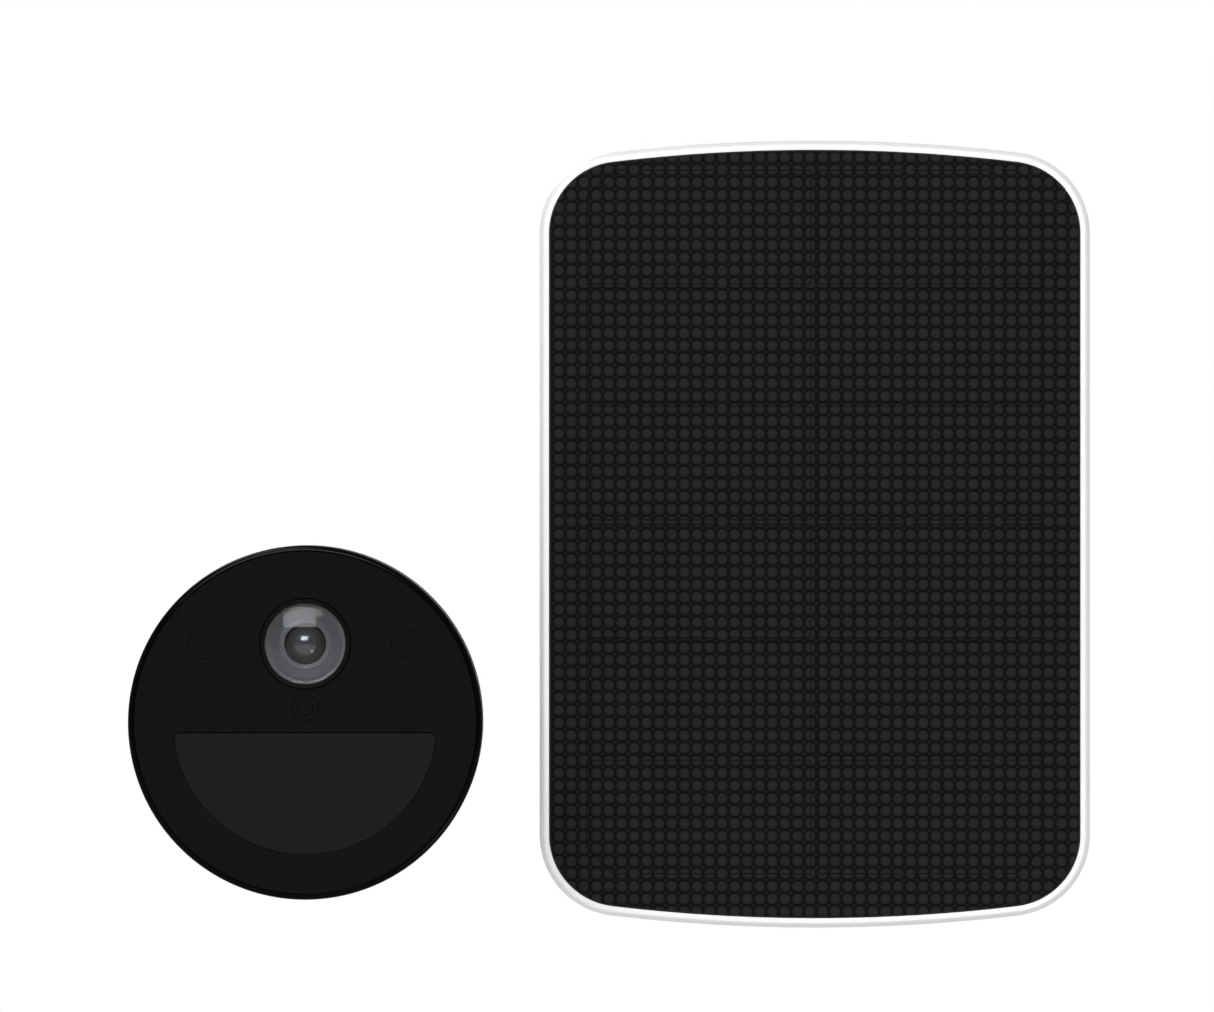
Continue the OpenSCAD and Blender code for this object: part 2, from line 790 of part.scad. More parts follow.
module cell_bay() {
    half_h = (cell_pitch * (cell_rows - 1) + cell_h) / 2 + 0.5;
    box(cell_gap + 2 * cell_w + 1, 2 * half_h, sheet_back - 0.8, sheet_back, [0, cells_up]);
}

camera_wall_plate();
camera_stem();
stem_screw();
swivel_set_screw();
camera_socket();
ball_stud();
camera_lock_nut();
housing();
rear_cover();
housing_screws();
threaded_insert();
battery_bay();
battery_contacts();
front_bezel();
face_gasket();
face_plate();
lens_trim();
lens_cover();
lens_barrel();
lens_elements();
lens_holder();
sensor_board();
ir_cut_filter();
front_board();
ir_windows();
ir_leds();
light_pipe();
pir_lens();
pir_sensor();
mic_boot();
main_board();
heat_spreader();
wifi_antenna();
ribbon_cable();
speaker();
speaker_mesh();
charge_port();
port_cover();
sync_button();
battery_case();
battery_cells();
battery_cap();
battery_lock();
panel_wall_plate();
yoke_screw();
panel_yoke();
tilt_nut();
tilt_screw();
panel_arm();
tilt_washers();
panel_lock_nut();
panel_back_cover();
panel_insert();
panel_screws();
cable_gland();
panel_frame();
junction_board();
solar_cells();
cell_ribbons();
front_sheet();
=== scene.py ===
"""Solar-powered security camera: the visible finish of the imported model.

The round camera hangs on its ball mount at the lower left, and the panel stands beside it on its own mount.
Sizes are in millimetres: x runs right, z up, and "out" is the distance out of the wall, along -y.
"""

import math

import bmesh
import bpy
from mathutils import Matrix, Vector


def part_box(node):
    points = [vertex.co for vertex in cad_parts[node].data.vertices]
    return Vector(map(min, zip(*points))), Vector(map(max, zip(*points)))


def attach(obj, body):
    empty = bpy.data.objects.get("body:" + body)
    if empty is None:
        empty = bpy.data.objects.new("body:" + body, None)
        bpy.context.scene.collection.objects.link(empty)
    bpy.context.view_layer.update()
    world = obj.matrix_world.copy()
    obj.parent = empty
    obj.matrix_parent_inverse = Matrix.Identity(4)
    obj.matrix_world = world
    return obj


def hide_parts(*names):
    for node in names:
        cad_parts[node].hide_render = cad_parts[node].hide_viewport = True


bl_info = {
    "name": "Solar Security Camera",
    "version": (1, 0, 0),
    "blender": (4, 5, 0),
    "location": "View3D > Sidebar > Solar Camera",
    "description": "Builds the finished surfaces of a round battery camera and its solar panel",
    "category": "Object",
}

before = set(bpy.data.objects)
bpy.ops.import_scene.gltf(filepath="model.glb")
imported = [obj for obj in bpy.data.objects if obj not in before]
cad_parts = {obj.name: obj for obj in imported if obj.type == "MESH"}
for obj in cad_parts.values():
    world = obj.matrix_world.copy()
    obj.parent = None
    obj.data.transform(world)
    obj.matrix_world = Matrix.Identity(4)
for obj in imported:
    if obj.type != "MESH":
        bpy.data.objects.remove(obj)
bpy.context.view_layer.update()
MM = 0.001


def node_box(name):
    """A node's lowest and highest corner in millimetres."""
    low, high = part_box(name)
    return Vector(low) / MM, Vector(high) / MM


def node_centre(name):
    low, high = node_box(name)
    return (low + high) / 2


# Places that the frame gives
FACE_FRONT = -node_box("face_plate")[0].y
LENS = node_centre("lens_cover")
LENS_R = (node_box("lens_cover")[1].x - node_box("lens_cover")[0].x) / 2
TRIM_R = (node_box("lens_trim")[1].x - node_box("lens_trim")[0].x) / 2
CAMERA_R = (node_box("housing")[1].x - node_box("housing")[0].x) / 2
CAMERA_FRONT = -node_box("front_bezel")[0].y
BEZEL_BACK = -node_box("front_bezel")[1].y
PANEL_LOW, PANEL_HIGH = node_box("panel_frame")
PANEL = (PANEL_LOW + PANEL_HIGH) / 2
PANEL_W = PANEL_HIGH.x - PANEL_LOW.x
PANEL_H = PANEL_HIGH.z - PANEL_LOW.z
PANEL_FRONT = -PANEL_LOW.y
PANEL_FRAME_BACK = -PANEL_HIGH.y
SHEET_FRONT = -node_box("front_sheet")[0].y
SHEET_BACK = -node_box("front_sheet")[1].y
CELLS_LOW, CELLS_HIGH = node_box("solar_cells")
PANEL_SCREWS = node_box("panel_screws")
MOTION_TOP = node_box("pir_lens")[1].z
OUTLET = node_centre("cable_gland")
OUTLET_BACK = -node_box("cable_gland")[1].y

# Groups of nodes that share a finish
FINISH_OF_NODE = {
    "powder_coat": ["camera_wall_plate", "camera_stem", "camera_socket"],
    "spark_plastic": ["housing", "rear_cover", "camera_lock_nut", "battery_cap", "battery_lock",
                      "sync_button"],
    "plated_steel": ["stem_screw", "swivel_set_screw", "ball_stud", "housing_screws", "yoke_screw",
                     "tilt_nut", "panel_arm", "panel_screws", "pir_sensor", "charge_port"],
    "turned_brass": ["threaded_insert", "panel_insert"],
    "dark_window": ["face_plate", "ir_windows"],
    "motion_window": ["pir_lens"],
    "moulded_black": ["battery_bay", "battery_contacts", "lens_holder", "battery_case", "speaker"],
    "soft_rubber": ["face_gasket", "mic_boot", "port_cover", "tilt_washers"],
    "tinted_filter": ["ir_cut_filter", "ir_leds"],
    "solder_mask": ["sensor_board", "front_board", "main_board", "wifi_antenna", "junction_board",
                    "ribbon_cable"],
    "rolled_aluminium": ["heat_spreader", "speaker_mesh"],
    "shrink_sleeve": ["battery_cells"],
    "satin_white": ["panel_wall_plate", "panel_yoke", "tilt_screw", "panel_lock_nut"],
    "dark_silicon": ["solar_cells"],
    "tinned_strip": ["cell_ribbons"],
}


# ---------- shader writing ----------


class Sock:
    """One shader value. Arithmetic on it adds Math nodes."""

    def __init__(self, finish, out):
        self.finish, self.out = finish, out

    def _math(self, operation, a, b):
        return self.finish.node("ShaderNodeMath", {"operation": operation}, [a, b])

    def __add__(self, other):
        return self._math("ADD", self, other)

    def __sub__(self, other):
        return self._math("SUBTRACT", self, other)

    def __rsub__(self, other):
        return self._math("SUBTRACT", other, self)

    def __mul__(self, other):
        return self._math("MULTIPLY", self, other)

    def __truediv__(self, other):
        return self._math("DIVIDE", self, other)

    def __lt__(self, other):
        return self._math("LESS_THAN", self, other)

    def __gt__(self, other):
        return self._math("GREATER_THAN", self, other)

    def __abs__(self):
        return self._math("ABSOLUTE", self, 0)

    def rounded(self):
        return self._math("ROUND", self, 0)

    def root(self):
        return self._math("SQRT", self, 0)

    def either(self, other):
        return self._math("MAXIMUM", self, other)

    __radd__ = __add__
    __rmul__ = __mul__


class Finish:
    """A material under construction: a principled shader fed by procedural nodes."""

    def __init__(self, name, **constants):
        self.material = bpy.data.materials.new(name)
        self.material.use_nodes = True
        self.tree = self.material.node_tree
        self.shader = self.tree.nodes["Principled BSDF"]
        for label, value in constants.items():
            self.shader.inputs[label.replace("_", " ")].default_value = value

    def feed(self, socket, value):
        if isinstance(value, Sock):
            self.tree.links.new(value.out, socket)
        else:
            socket.default_value = value

    def node(self, kind, settings, inputs, out=0):
        """Adds a node with its settings, fills its sockets in order or by name, and returns one output."""
        made = self.tree.nodes.new(kind)
        for key, value in settings.items():
            setattr(made, key, value)
        named = inputs.items() if isinstance(inputs, dict) else enumerate(inputs)
        for key, value in named:
            self.feed(made.inputs[key], value)
        return Sock(self, made.outputs[out])

    def place(self):
        return self.node("ShaderNodeTexCoord", {}, [], "Object")

    def axes(self):
        """Object coordinates in millimetres, one value each."""
        split = self.tree.nodes.new("ShaderNodeSeparateXYZ")
        self.tree.links.new(self.place().out, split.inputs[0])
        return [Sock(self, out) * 1000.0 for out in split.outputs]

    def from_lens(self):
        """Distance from the lens's axis, in millimetres."""
        x, _, z = self.axes()
        dx, dz = x - LENS.x / MM, z - LENS.z / MM
        return (dx * dx + dz * dz).root()

    def noise(self, per_metre, detail=3.0, rough=0.55, at=None):
        inputs = {"Vector": at or self.place(), "Scale": per_metre, "Detail": detail, "Roughness": rough}
        return self.node("ShaderNodeTexNoise", {}, inputs)

    def stretched(self, scale):
        """Object coordinates scaled on each axis, for grain that runs one way."""
        return self.node("ShaderNodeMapping", {}, {"Vector": self.place(), "Scale": scale})

    def blend(self, mask, first, second):
        """Colour that goes from first to second as mask goes from 0 to 1."""
        made = self.tree.nodes.new("ShaderNodeMix")
        made.data_type = "RGBA"
        self.feed(made.inputs["Factor"], mask)
        for name, value in (("A", first), ("B", second)):
            socket = next(s for s in made.inputs if s.name == name and s.type == "RGBA")
            self.feed(socket, value if isinstance(value, Sock) else (*value, 1.0))
        return Sock(self, next(s for s in made.outputs if s.type == "RGBA"))

    def spread(self, value, low, high):
        """A value of 0 to 1 mapped to a range."""
        return self.node("ShaderNodeMapRange", {}, {"Value": value, "To Min": low, "To Max": high})

    def paint(self, colour, roughness=None):
        self.feed(self.shader.inputs["Base Color"], colour)
        if roughness is not None:
            self.feed(self.shader.inputs["Roughness"], roughness)

    def emboss(self, height, depth, strength=1.0):
        inputs = {"Height": height, "Strength": strength, "Distance": depth}
        self.feed(self.shader.inputs["Normal"], self.node("ShaderNodeBump", {}, inputs))


# ---------- finishes ----------


def powder_coat(tint):
    f = Finish("powder_coat", Specular_IOR_Level=0.35)
    grain = f.noise(2600, 2.0)
    cloud = f.noise(90, 3.0)
    dark, light = [c * 0.75 for c in tint], [c * 1.3 for c in tint]
    f.paint(f.blend(cloud, dark, light), f.spread(grain, 0.42, 0.62))
    f.emboss(grain, 0.00012, 0.5)
    return f.material


def spark_plastic(tint):
    f = Finish("spark_plastic", Specular_IOR_Level=0.3)
    grain = f.noise(3800, 1.5)
    cloud = f.noise(45, 2.0)
    f.paint(f.blend(cloud, [c * 0.8 for c in tint], [c * 1.25 for c in tint]), f.spread(grain, 0.38, 0.58))
    f.emboss(grain, 0.00006, 0.6)
    return f.material


def gloss_rim(tint):
    f = Finish("gloss_rim", Specular_IOR_Level=0.05)
    swirl = f.noise(160, 4.0)
    f.paint(f.blend(swirl, [c * 0.7 for c in tint], tint), f.spread(swirl, 0.1, 0.18))
    return f.material


def dark_window(tint):
    """Smooth front plate: almost no reflection straight on."""
    f = Finish("dark_window", Specular_IOR_Level=0.08)
    cloud = f.noise(60, 3.0)
    fine = f.noise(5200, 1.0)
    f.paint(f.blend(cloud, [c * 0.94 for c in tint], [c * 1.06 for c in tint]), f.spread(fine, 0.16, 0.22))
    f.emboss(fine, 0.00001, 0.25)
    return f.material


def motion_window(tint):
    """Milled polyethylene over the motion sensor, with the faint moulded flow of the sheet and painted shade
    along its top seam.
    """
    f = Finish("motion_window", Specular_IOR_Level=0.05)
    flow = f.noise(1.0, 3.0, at=f.stretched((30, 30, 180)))
    grain = f.noise(4200, 1.0)
    body = f.blend(flow, [c * 0.95 for c in tint], [c * 1.05 for c in tint])
    # Painted shade: a near-black strip 0.3 mm deep along the window's top edge, the seam with the face
    # plate, standing in for the gap's shade.
    seam = f.axes()[2] > MOTION_TOP - 0.3
    f.paint(f.blend(seam, body, [c * 0.06 for c in tint]), f.spread(grain, 0.28, 0.34))
    f.emboss(grain, 0.00002, 0.4)
    return f.material


def plated_steel():
    f = Finish("plated_steel", Metallic=1.0)
    turned = f.noise(1.0, 4.0, at=f.stretched((500, 5200, 500)))
    cloud = f.noise(220, 3.0)
    f.paint(f.blend(cloud, (0.36, 0.37, 0.38), (0.56, 0.57, 0.58)), f.spread(turned, 0.2, 0.38))
    f.emboss(turned, 0.00003, 0.4)
    return f.material


def turned_brass():
    f = Finish("turned_brass", Metallic=1.0)
    turned = f.noise(1.0, 3.0, at=f.stretched((600, 4800, 600)))
    f.paint(f.blend(f.noise(260), (0.5, 0.34, 0.12), (0.72, 0.53, 0.24)), f.spread(turned, 0.22, 0.4))
    f.emboss(turned, 0.00003, 0.4)
    return f.material


def rolled_aluminium():
    f = Finish("rolled_aluminium", Metallic=1.0)
    rolled = f.noise(1.0, 4.0, at=f.stretched((90, 2600, 90)))
    f.paint(f.blend(rolled, (0.55, 0.56, 0.58), (0.74, 0.75, 0.77)), f.spread(rolled, 0.3, 0.48))
    return f.material


def moulded_black():
    f = Finish("moulded_black", Specular_IOR_Level=0.4)
    grain = f.noise(1500, 2.0)
    f.paint(f.blend(grain, (0.010, 0.010, 0.011), (0.022, 0.022, 0.023)), f.spread(grain, 0.45, 0.6))
    f.emboss(grain, 0.00005, 0.5)
    return f.material


def soft_rubber():
    f = Finish("soft_rubber", Specular_IOR_Level=0.25)
    grain = f.noise(2200, 3.0, 0.7)
    f.paint(f.blend(grain, (0.010, 0.010, 0.010), (0.020, 0.020, 0.021)), f.spread(grain, 0.66, 0.84))
    f.emboss(grain, 0.00008, 0.6)
    return f.material


def tinted_filter():
    f = Finish("tinted_filter", Coat_Weight=0.4, Coat_Roughness=0.02)
    tint = f.blend(f.noise(400), (0.05, 0.015, 0.03), (0.02, 0.05, 0.07))
    f.paint(tint, f.spread(f.noise(900), 0.05, 0.12))
    return f.material


def solder_mask():
    """Circuit board with a faint weave and traces."""
    f = Finish("solder_mask", Specular_IOR_Level=0.5)
    x, _, z = f.axes()
    trace = abs((x / 2.2) - (x / 2.2).rounded()) < 0.08
    cross = abs((z / 3.1) - (z / 3.1).rounded()) < 0.06
    lines = trace.either(cross) * (f.noise(120) > 0.5)
    f.paint(f.blend(lines, (0.008, 0.055, 0.028), (0.02, 0.12, 0.06)), f.spread(f.noise(1400), 0.25, 0.4))
    f.emboss(lines, 0.00004, 0.5)
    return f.material


def shrink_sleeve():
    f = Finish("shrink_sleeve", Specular_IOR_Level=0.5)
    wrinkle = f.noise(260, 4.0, 0.65)
    f.paint(f.blend(wrinkle, (0.03, 0.13, 0.26), (0.05, 0.2, 0.38)), f.spread(wrinkle, 0.18, 0.34))
    f.emboss(wrinkle, 0.0001, 0.3)
    return f.material


def satin_white(tint):
    f = Finish("satin_white", Specular_IOR_Level=0.4, Coat_Roughness=0.12, Coat_Weight=0.15)
    grain = f.noise(3000, 2.0)
    cloud = f.noise(25, 2.0)
    f.paint(f.blend(cloud, [c * 0.975 for c in tint], tint), f.spread(grain, 0.3, 0.42))
    f.emboss(grain, 0.00002, 0.35)
    return f.material


def dark_silicon():
    """Single-crystal cells with fine grid fingers."""
    f = Finish("dark_silicon", Specular_IOR_Level=0.5)
    _, _, z = f.axes()
    finger = abs((z / 1.5) - (z / 1.5).rounded()) < 0.04
    f.paint(f.blend(finger, (0.004, 0.005, 0.012), (0.25, 0.25, 0.26)), f.spread(f.noise(700), 0.15, 0.3))
    return f.material


def tinned_strip():
    f = Finish("tinned_strip", Metallic=1.0)
    f.paint(f.blend(f.noise(900), (0.4, 0.4, 0.4), (0.6, 0.6, 0.59)), f.spread(f.noise(1600), 0.3, 0.5))
    return f.material


def grey(level):
    return (level, level, level)


def embossed_sheet(look):
    """Embossed laminate over black cells: grey domes, dark grooves, and the cells' edges showing through."""
    f = Finish("embossed_sheet", Specular_IOR_Level=0.05)
    x, _, z = f.axes()
    pitch = look.dome_pitch
    u, v = (x - look.dome_x) / pitch, (z - look.dome_z) / pitch
    du, dv = (u - u.rounded()) * pitch, (v - v.rounded()) * pitch
    from_dome = (du * du + dv * dv).root()
    cu, cv = pitch / 2 - abs(du), pitch / 2 - abs(dv)
    from_gap = (cu * cu + cv * cv).root()
    dome = from_dome < look.dome_r
    dot = from_gap < look.dot_r
    groove = ((cu < look.groove_w / 2).either(cv < look.groove_w / 2)) * (1 - dome)
    sheet = f.blend(f.noise(900, 2.0), grey(0.0028), grey(0.004))
    sheet = f.blend(groove, sheet, grey(0.0008))
    sheet = f.blend(dot, sheet, grey(0.0095))
    sheet = f.blend(dome, sheet, f.blend(f.noise(1300, 2.0), grey(0.0125), grey(0.015)))
    sheet = f.blend(cell_edges(f, look, x, z), sheet, grey(0.0006))
    f.paint(sheet, f.spread(f.noise(2600), 0.45, 0.6))
    return f.material


def cell_edges(f, look, x, z):
    """1 on the thin dark lines round each cell, with gaps where the ribbons cross them."""
    half_w, half_h = (CELLS_HIGH.x - CELLS_LOW.x) / 2, (CELLS_HIGH.z - CELLS_LOW.z) / 2
    mid = (CELLS_HIGH + CELLS_LOW) / 2
    px, pz = abs(x - mid.x), abs(z - mid.z)
    pitch = (2 * half_h + look.cell_gap_y) / look.cell_rows
    row = (z - CELLS_LOW.z + look.cell_gap_y / 2) / pitch
    from_row_line = abs(row - row.rounded()) * pitch
    across = abs(from_row_line - look.cell_gap_y / 2) < look.line_w / 2
    upright = (abs(px - look.cell_gap_x / 2) < look.line_w / 2).either(abs(px - half_w) < look.line_w / 2)
    ribbon_half = look.ribbon_w / 2
    ribbon = (abs(px - look.ribbon_in) < ribbon_half).either(abs(px - look.ribbon_out) < ribbon_half)
    upright = upright * (1 - (from_row_line < look.cell_gap_y / 2))
    cut = half_w + half_h - look.cell_cut
    corner = abs(px + pz - cut)
    inside = (px < half_w + look.line_w) * (pz < half_h + look.line_w) * (px + pz < cut)
    between = (px > look.cell_gap_x / 2) * (1 - ribbon)
    slant = (corner < look.line_w * 0.7) * (px < half_w) * (pz < half_h)
    return ((across * between).either(upright) * inside).either(slant)


def clear_glass():
    """Thin coated glass: see-through, with a mirror-like surface that grows at grazing angles."""
    f = Finish("lens_glass", Metallic=1.0, Roughness=0.015)
    f.feed(f.shader.inputs["Base Color"], f.blend(f.noise(200), (0.9, 0.9, 0.93), (0.95, 0.94, 0.98)))
    clear = f.node("ShaderNodeBsdfTransparent", {}, {"Color": (0.95, 0.96, 0.97, 1.0)})
    facing = f.node("ShaderNodeFresnel", {}, {"IOR": 1.19})
    mixed = f.node("ShaderNodeMixShader", {}, [facing, clear, Sock(f, f.shader.outputs[0])])
    f.tree.links.new(mixed.out, f.tree.nodes["Material Output"].inputs["Surface"])
    return f.material


def barrel_rings(tint):
    """Anodised inside of the lens barrel: fine turned rings round the optical axis."""
    f = Finish("barrel_rings", Specular_IOR_Level=0.4)
    radius = f.from_lens()
    ring = f.node("ShaderNodeMath", {"operation": "SINE"}, [radius * 14.0, 0])
    inner = f.blend(f.spread(ring, 0.2, 0.8), [c * 1.05 for c in tint], [c * 1.2 for c in tint])
    outer = f.blend(f.spread(ring, 0.2, 0.8), [c * 0.85 for c in tint], tint)
    f.paint(f.blend(radius < 6.0, outer, inner), f.spread(ring, 0.3, 0.42))
    f.emboss(ring, 0.00002, 0.3)
    return f.material


def coated_element(tint):
    """Dark inner element: a paler ring where the next element's edge shows through."""
    f = Finish("coated_element", Specular_IOR_Level=0.4, Coat_Weight=1.0, Coat_IOR=1.4, Coat_Roughness=0.02)
    radius = f.from_lens()
    ring = (abs(radius - 2.1) < 0.14).either(abs(radius - 3.6) < 0.08)
    body = f.blend(f.noise(180), [c * 0.92 for c in tint], tint)
    f.paint(f.blend(ring, body, [c * 1.5 for c in tint]), f.spread(f.noise(500), 0.12, 0.2))
    return f.material


# ---------- shapes ----------


def quarter(cx, cy, r, start, end, steps=6):
    """Points along a circular arc, angles in degrees."""
    angles = [math.radians(start + (end - start) * i / steps) for i in range(steps + 1)]
    return [(cx + r * math.cos(a), cy + r * math.sin(a)) for a in angles]


def new_object(name, mesh_builder, materials):
    """Turns a bmesh into an object at the origin, with crisp edges kept sharp."""
    bmesh.ops.remove_doubles(mesh_builder, verts=mesh_builder.verts, dist=1e-7)
    bmesh.ops.recalc_face_normals(mesh_builder, faces=mesh_builder.faces)
    crease = math.radians(32)
    for edge in mesh_builder.edges:
        edge.smooth = len(edge.link_faces) == 2 and edge.calc_face_angle() < crease
    for face in mesh_builder.faces:
        face.smooth = True
    mesh = bpy.data.meshes.new(name)
    mesh_builder.to_mesh(mesh)
    mesh_builder.free()
    for material in materials:
        mesh.materials.append(material)
    made = bpy.data.objects.new(name, mesh)
    bpy.context.scene.collection.objects.link(made)
    return made


def bridge(bm, first, second):
    """Quads between two rings of vertices of one length; a ring may be a single vertex."""
    count = max(len(first), len(second))
    for i in range(count):
        j = (i + 1) % count
        corners = [ring[k % len(ring)] for ring, k in ((first, i), (first, j), (second, j), (second, i))]
        unique = list(dict.fromkeys(corners))
        if len(unique) > 2:
            bm.faces.new(unique)


def lathe_into(bm, profile, centre, steps, closed=False):
    """Revolves (radius, distance out of the wall) points about an axis square to the wall."""
    rings = []
    for radius, out in profile:
        around = steps if radius > 1e-6 else 1
        turn = [2 * math.pi * i / steps for i in range(around)]
        points = [(centre.x + radius * math.cos(a), -out, centre.z + radius * math.sin(a)) for a in turn]
        rings.append([bm.verts.new(Vector(p) * MM) for p in points])
    pairs = list(zip(rings, rings[1:]))
    if closed:
        pairs.append((rings[-1], rings[0]))
    for first, second in pairs:
        bridge(bm, first, second)


def lathe(name, profile, centre, materials, steps=160, closed=False):
    bm = bmesh.new()
    lathe_into(bm, profile, centre, steps, closed)
    return new_object(name, bm, materials)


def dome(r, edge, apex, steps=10):
    """Profile of a spherical cap from its apex to its edge."""
    rise = apex - edge
    big = (r * r + rise * rise) / (2 * rise)
    reach = math.asin(r / big)
    return [(big * math.sin(reach * i / steps), apex - big * (1 - math.cos(reach * i / steps)))
            for i in range(steps + 1)]


def panel_quarter(look, inset):
    """The outline's top right quarter: corner arc, then the bowed top."""
    half_w, half_h = PANEL_W / 2 - inset, PANEL_H / 2 - inset
    corner, crown = look.corner_r - inset, look.crown_r - inset
    cx = half_w - corner
    cy = math.sqrt((crown - corner) ** 2 - cx**2) + half_h - crown
    turn = math.degrees(math.atan2(cy - half_h + crown, cx))
    rounded = quarter(cx, cy, corner, 0, turn, look.corner_steps)
    return rounded + quarter(0, half_h - crown, crown, turn, 90, look.crown_steps)[1:]


def panel_outline(look, inset):
    """The whole outline about the panel's middle, anticlockwise."""
    first = panel_quarter(look, inset)
    top = first + [(-x, y) for x, y in reversed(first[:-1])]
    return top + [(x, -y) for x, y in reversed(top)]


def on_panel(x, y, out):
    return Vector((PANEL.x + x, -out, PANEL.z + y)) * MM


def outline_ring(bm, look, inset, out):
    return [bm.verts.new(on_panel(x, y, out)) for x, y in panel_outline(look, inset)]


def sweep_into(bm, look, profile, closed=False):
    """Carries an (inset, distance out of the wall) profile round the panel's outline."""
    rings = [outline_ring(bm, look, inset, out) for inset, out in profile]
    pairs = list(zip(rings, rings[1:]))
    if closed:
        pairs.append((rings[-1], rings[0]))
    for first, second in pairs:
        bridge(bm, first, second)
    return rings


def inside_outline(look, x, y, margin):
    """Is a point within the sheet's opening, grown by margin?"""
    inset = look.rim_w - margin
    half_w, half_h = PANEL_W / 2 - inset, PANEL_H / 2 - inset
    corner, crown = look.corner_r - inset, look.crown_r - inset
    ax, ay = abs(x), abs(y)
    cx = half_w - corner
    cy = math.sqrt((crown - corner) ** 2 - cx**2) + half_h - crown
    if ax > half_w or math.hypot(ax, ay - half_h + crown) > crown:
        return False
    beyond = ax > cx and ay > cy and (ay - cy) / (ax - cx) < (cy - half_h + crown) / cx
    return not beyond or math.hypot(ax - cx, ay - cy) <= corner


def holes_in_flat(bm, rim, circles, out):
    """Fills a flat ring of vertices, leaving round holes; returns each hole's ring."""
    edges = [bm.edges.get((a, b)) or bm.edges.new((a, b)) for a, b in zip(rim, rim[1:] + rim[:1])]
    rings = []
    for x, y, r in circles:
        ring = [bm.verts.new(on_panel(px, py, out)) for px, py in quarter(x, y, r, 0, 360, 40)[:-1]]
        edges += [bm.edges.new((a, b)) for a, b in zip(ring, ring[1:] + ring[:1])]
        rings.append(ring)
    bmesh.ops.triangle_fill(bm, edges=edges, use_beauty=True)
    return rings


def raised_dots_tree():
    """Geometry Nodes: a two-step round button on every point, turned to face out of the wall."""
    tree = bpy.data.node_groups.new("raised_dots", "GeometryNodeTree")
    face = tree.interface
    face.new_socket("Points", in_out="INPUT", socket_type="NodeSocketGeometry")
    for name in ("Radius", "Crown Radius", "Height"):
        face.new_socket(name, in_out="INPUT", socket_type="NodeSocketFloat")
    face.new_socket("Sides", in_out="INPUT", socket_type="NodeSocketInt")
    face.new_socket("Finish", in_out="INPUT", socket_type="NodeSocketMaterial")
    face.new_socket("Buttons", in_out="OUTPUT", socket_type="NodeSocketGeometry")
    new, link = tree.nodes.new, tree.links.new
    given, result = new("NodeGroupInput"), new("NodeGroupOutput")
    skirt, crown = new("GeometryNodeMeshCone"), new("GeometryNodeMeshCone")
    skirt.fill_type, crown.fill_type = "NONE", "NGON"
    shoulder = math_node(tree, "MULTIPLY", given.outputs["Radius"], 0.93)
    lower = math_node(tree, "MULTIPLY", given.outputs["Height"], 0.7)
    upper = math_node(tree, "SUBTRACT", given.outputs["Height"], lower)
    for cone, wide, narrow, tall in ((skirt, given.outputs["Radius"], shoulder, lower),
                                     (crown, shoulder, given.outputs["Crown Radius"], upper)):
        link(given.outputs["Sides"], cone.inputs["Vertices"])
        link(wide, cone.inputs["Radius Bottom"])
        link(narrow, cone.inputs["Radius Top"])
        link(tall, cone.inputs["Depth"])
    lift, up = new("GeometryNodeTransform"), new("ShaderNodeCombineXYZ")
    link(lower, up.inputs["Z"])
    link(up.outputs[0], lift.inputs["Translation"])
    trim = new("GeometryNodeDeleteGeometry")
    trim.domain = "FACE"
    link(crown.outputs["Mesh"], trim.inputs["Geometry"])
    link(crown.outputs["Bottom"], trim.inputs["Selection"])
    link(trim.outputs[0], lift.inputs["Geometry"])
    both, scatter = new("GeometryNodeJoinGeometry"), new("GeometryNodeInstanceOnPoints")
    link(skirt.outputs["Mesh"], both.inputs[0])
    link(lift.outputs[0], both.inputs[0])
    link(given.outputs["Points"], scatter.inputs["Points"])
    link(both.outputs[0], scatter.inputs["Instance"])
    scatter.inputs["Rotation"].default_value = (math.pi / 2, 0, 0)
    real, coat = new("GeometryNodeRealizeInstances"), new("GeometryNodeSetMaterial")
    link(scatter.outputs[0], real.inputs[0])
    link(real.outputs[0], coat.inputs["Geometry"])
    link(given.outputs["Finish"], coat.inputs["Material"])
    link(coat.outputs[0], result.inputs[0])
    return tree


def math_node(tree, operation, first, second):
    made = tree.nodes.new("ShaderNodeMath")
    made.operation = operation
    for socket, value in zip(made.inputs, (first, second)):
        if isinstance(value, (int, float)):
            socket.default_value = value
        else:
            tree.links.new(value, socket)
    return made.outputs[0]


def grown(name, points, tree, values):
    """Runs a Geometry Nodes tree on a cloud of points and keeps the result as a plain mesh."""
    cloud = bpy.data.meshes.new(name + "_points")
    cloud.from_pydata(points, [], [])
    seed = bpy.data.objects.new(name + "_points", cloud)
    bpy.context.scene.collection.objects.link(seed)
    modifier = seed.modifiers.new("grow", "NODES")
    modifier.node_group = tree
    for item in tree.interface.items_tree:
        if item.in_out == "INPUT" and item.name in values:
            modifier[item.identifier] = values[item.name]
    graph = bpy.context.evaluated_depsgraph_get()
    mesh = bpy.data.meshes.new_from_object(seed.evaluated_get(graph), depsgraph=graph)
    bpy.data.objects.remove(seed)
    mesh.name = name
    made = bpy.data.objects.new(name, mesh)
    bpy.context.scene.collection.objects.link(made)
    return made


# ---------- what a user would change ----------


def length(label, what, default):
    return bpy.props.FloatProperty(name=label, description=what + ", mm", default=default)


def number(label, what, default):
    return bpy.props.FloatProperty(name=label, description=what, default=default)


def count(label, what, default):
    return bpy.props.IntProperty(name=label, description=what, default=default)


def colour(label, what, default):
    return bpy.props.FloatVectorProperty(name=label, description=what, subtype="COLOR", default=default)


